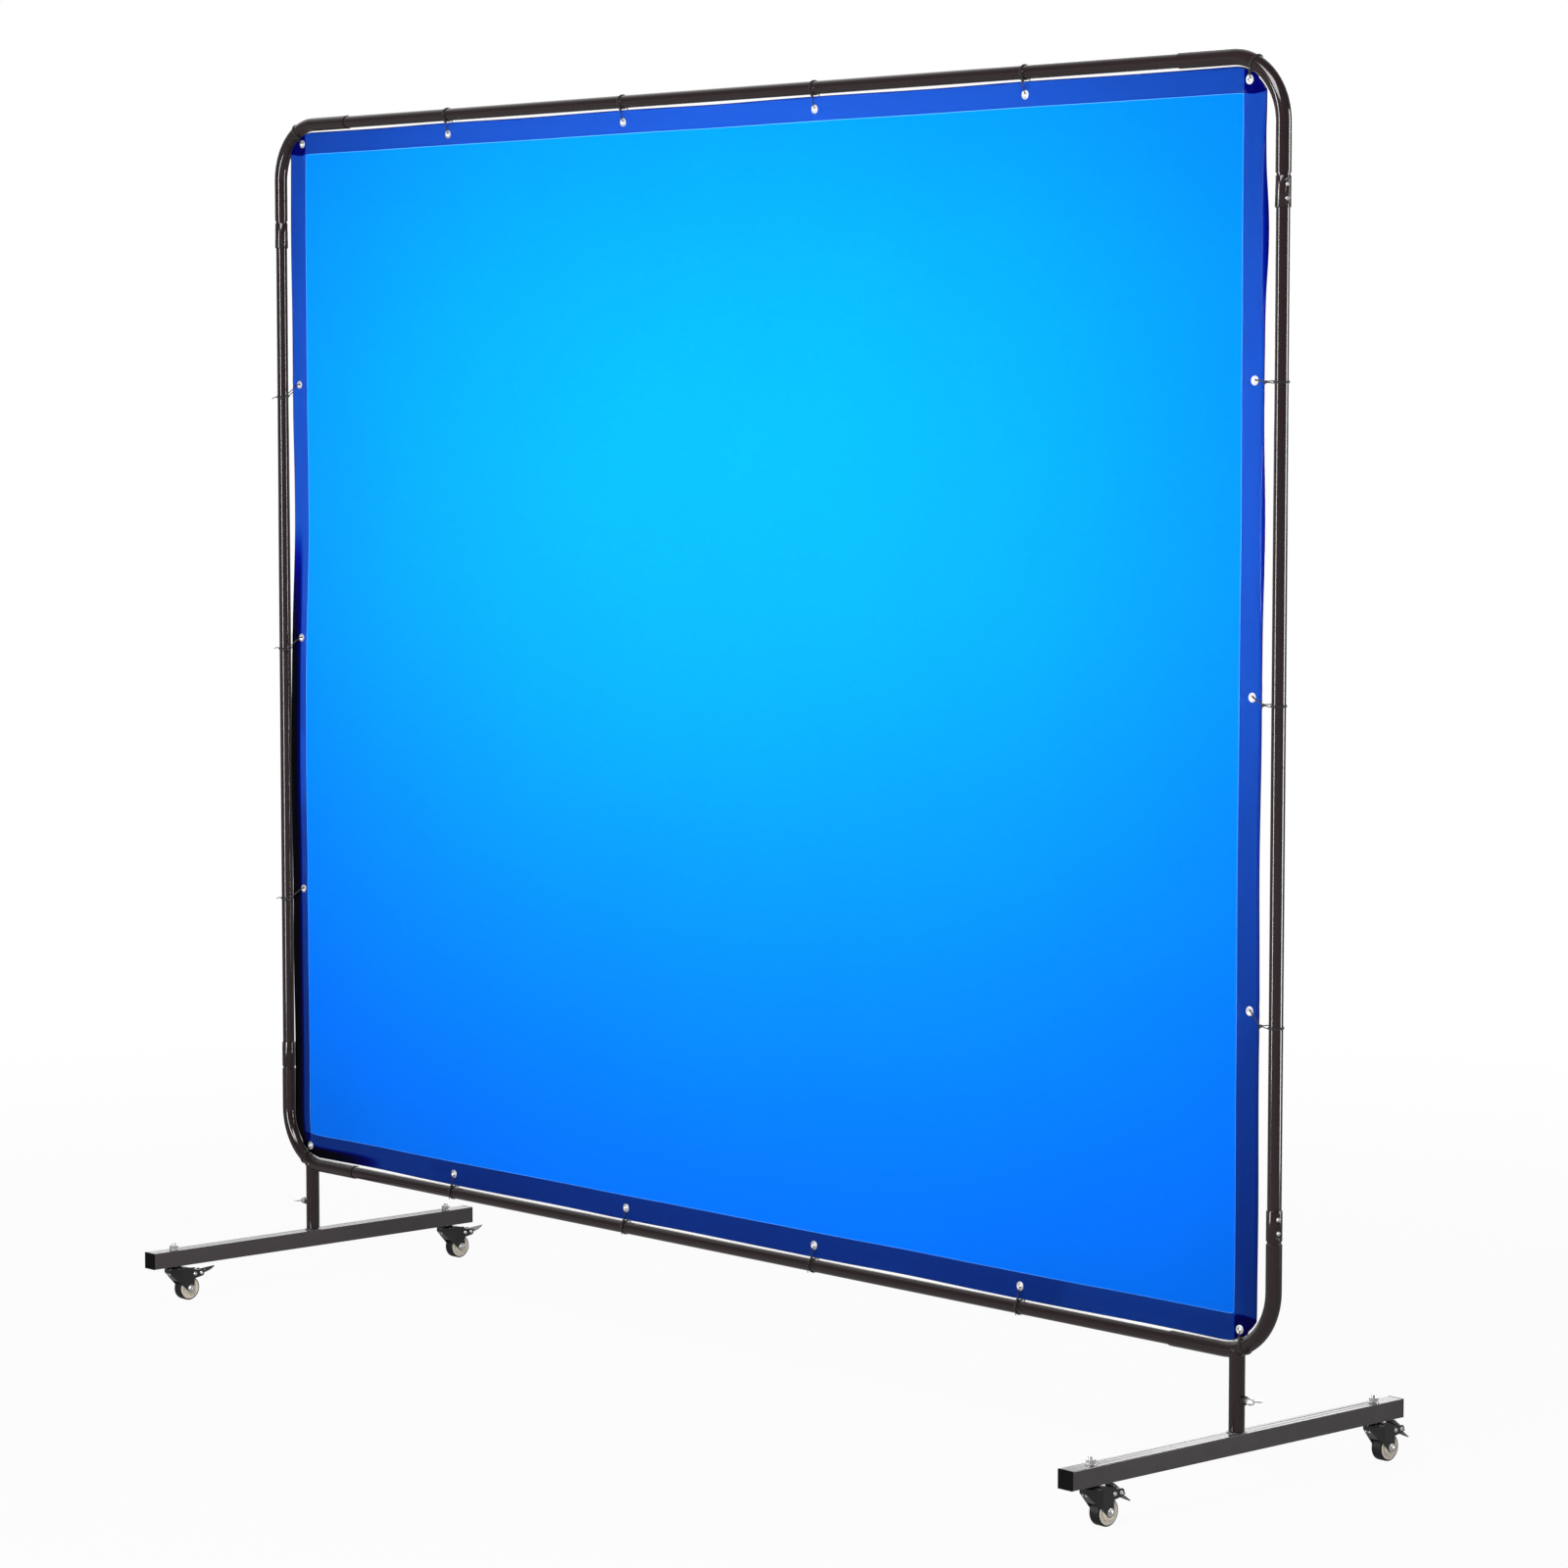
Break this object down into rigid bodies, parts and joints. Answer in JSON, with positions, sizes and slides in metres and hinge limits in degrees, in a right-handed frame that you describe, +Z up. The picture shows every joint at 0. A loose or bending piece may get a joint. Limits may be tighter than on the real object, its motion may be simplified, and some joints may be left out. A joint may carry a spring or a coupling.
{
  "type": "welding curtain screen",
  "caption": "Free-standing welding screen: translucent blue vinyl curtain tied inside a round-cornered tube frame on two swivelling foot beams with braked casters.",
  "frame": {"origin": "on the floor, under the middle of the screen", "axes": "+X along the screen's width to its right seen from the front, -Y to the front, +Z up"},
  "size_m": [2.5408, 0.7858, 2.1961],
  "materials": {
    "frame_black": "semi-gloss black powder coat with a faint orange peel",
    "beam_black": "satin black powder coat",
    "plug_black": "moulded black polyethylene",
    "vinyl": "translucent glossy flexible blue vinyl",
    "vinyl_hem": "two welded layers of the same vinyl, darker and less clear",
    "tie_black": "black nylon cord",
    "zinc": "bright zinc plate",
    "caster_black": "black electro-coated pressed steel",
    "pedal": "black coated pressed steel, worn on its tread",
    "rim_cream": "moulded cream nylon",
    "tyre_black": "glossy black polyurethane"
  },
  "bodies": {
    "frame": {"top_rail": "frame_black", "bottom_rail": "frame_black", "upright_left": "frame_black", "upright_right": "frame_black", "corner_top_left_rail": "frame_black", "corner_top_left_side": "frame_black", "corner_top_right_rail": "frame_black", "corner_top_right_side": "frame_black", "corner_bottom_left_rail": "frame_black", "corner_bottom_left_side": "frame_black", "corner_bottom_right_rail": "frame_black", "corner_bottom_right_side": "frame_black", "joint_collars": "frame_black", "collar_screws": "zinc", "curtain_sheet": "vinyl", "curtain_hem": "vinyl_hem", "eyelets": "zinc", "curtain_ties": "tie_black", "leg_left": "frame_black", "leg_right": "frame_black", "leg_nuts": "frame_black"},
    "wing_bolt_left": {"wing_bolt_left": "zinc"},
    "foot_left": {"foot_beam_left": "beam_black", "foot_spigot_left": "frame_black", "end_plugs_left": "plug_black", "caster_stems_left": "zinc", "stem_nuts_left": "zinc", "upper_races_left": "caster_black"},
    "caster_front_left": {"fork_front_left": "caster_black", "rivets_front_left": "zinc", "axle_front_left": "zinc"},
    "wheel_front_left": {"rim_front_left": "rim_cream", "tyre_front_left": "tyre_black"},
    "brake_front_left": {"pedal_front_left": "pedal"},
    "caster_rear_left": {"fork_rear_left": "caster_black", "rivets_rear_left": "zinc", "axle_rear_left": "zinc"},
    "wheel_rear_left": {"rim_rear_left": "rim_cream", "tyre_rear_left": "tyre_black"},
    "brake_rear_left": {"pedal_rear_left": "pedal"},
    "wing_bolt_right": {"wing_bolt_right": "zinc"},
    "foot_right": {"foot_beam_right": "beam_black", "foot_spigot_right": "frame_black", "end_plugs_right": "plug_black", "caster_stems_right": "zinc", "stem_nuts_right": "zinc", "upper_races_right": "caster_black"},
    "caster_front_right": {"fork_front_right": "caster_black", "rivets_front_right": "zinc", "axle_front_right": "zinc"},
    "wheel_front_right": {"rim_front_right": "rim_cream", "tyre_front_right": "tyre_black"},
    "brake_front_right": {"pedal_front_right": "pedal"},
    "caster_rear_right": {"fork_rear_right": "caster_black", "rivets_rear_right": "zinc", "axle_rear_right": "zinc"},
    "wheel_rear_right": {"rim_rear_right": "rim_cream", "tyre_rear_right": "tyre_black"},
    "brake_rear_right": {"pedal_rear_right": "pedal"}
  },
  "joints": [
    {"name": "wing_bolt_left_turn", "type": "hinge", "parent": "frame", "child": "wing_bolt_left", "pos_m": [-1.183, 0, 0.149], "axis": [-1, 0, 0], "range_deg": [0, 450]},
    {"name": "foot_left_turn", "type": "hinge", "parent": "frame", "child": "foot_left", "pos_m": [-1.183, 0, 0.097], "axis": [0, 0, 1], "range_deg": [-90, 90]},
    {"name": "caster_front_left_swivel", "type": "hinge", "parent": "foot_left", "child": "caster_front_left", "pos_m": [-1.183, -0.32, 0.061], "axis": [0, 0, 1], "continuous": true},
    {"name": "wheel_front_left_spin", "type": "hinge", "parent": "caster_front_left", "child": "wheel_front_left", "pos_m": [-1.183, -0.292, 0.022], "axis": [1, 0, 0], "continuous": true},
    {"name": "brake_front_left_press", "type": "hinge", "parent": "caster_front_left", "child": "brake_front_left", "pos_m": [-1.183, -0.268, 0.049], "axis": [1, 0, 0], "range_deg": [-41, 0]},
    {"name": "caster_rear_left_swivel", "type": "hinge", "parent": "foot_left", "child": "caster_rear_left", "pos_m": [-1.183, 0.32, 0.061], "axis": [0, 0, 1], "continuous": true},
    {"name": "wheel_rear_left_spin", "type": "hinge", "parent": "caster_rear_left", "child": "wheel_rear_left", "pos_m": [-1.183, 0.348, 0.022], "axis": [1, 0, 0], "continuous": true},
    {"name": "brake_rear_left_press", "type": "hinge", "parent": "caster_rear_left", "child": "brake_rear_left", "pos_m": [-1.183, 0.372, 0.049], "axis": [1, 0, 0], "range_deg": [-41, 0]},
    {"name": "wing_bolt_right_turn", "type": "hinge", "parent": "frame", "child": "wing_bolt_right", "pos_m": [1.183, 0, 0.149], "axis": [1, 0, 0], "range_deg": [0, 450]},
    {"name": "foot_right_turn", "type": "hinge", "parent": "frame", "child": "foot_right", "pos_m": [1.183, 0, 0.097], "axis": [0, 0, 1], "range_deg": [-90, 90]},
    {"name": "caster_front_right_swivel", "type": "hinge", "parent": "foot_right", "child": "caster_front_right", "pos_m": [1.183, -0.32, 0.061], "axis": [0, 0, 1], "continuous": true},
    {"name": "wheel_front_right_spin", "type": "hinge", "parent": "caster_front_right", "child": "wheel_front_right", "pos_m": [1.183, -0.292, 0.022], "axis": [1, 0, 0], "continuous": true},
    {"name": "brake_front_right_press", "type": "hinge", "parent": "caster_front_right", "child": "brake_front_right", "pos_m": [1.183, -0.268, 0.049], "axis": [1, 0, 0], "range_deg": [0, 41]},
    {"name": "caster_rear_right_swivel", "type": "hinge", "parent": "foot_right", "child": "caster_rear_right", "pos_m": [1.183, 0.32, 0.061], "axis": [0, 0, 1], "continuous": true},
    {"name": "wheel_rear_right_spin", "type": "hinge", "parent": "caster_rear_right", "child": "wheel_rear_right", "pos_m": [1.183, 0.348, 0.022], "axis": [1, 0, 0], "continuous": true},
    {"name": "brake_rear_right_press", "type": "hinge", "parent": "caster_rear_right", "child": "brake_rear_right", "pos_m": [1.183, 0.372, 0.049], "axis": [1, 0, 0], "range_deg": [0, 41]}
  ]
}
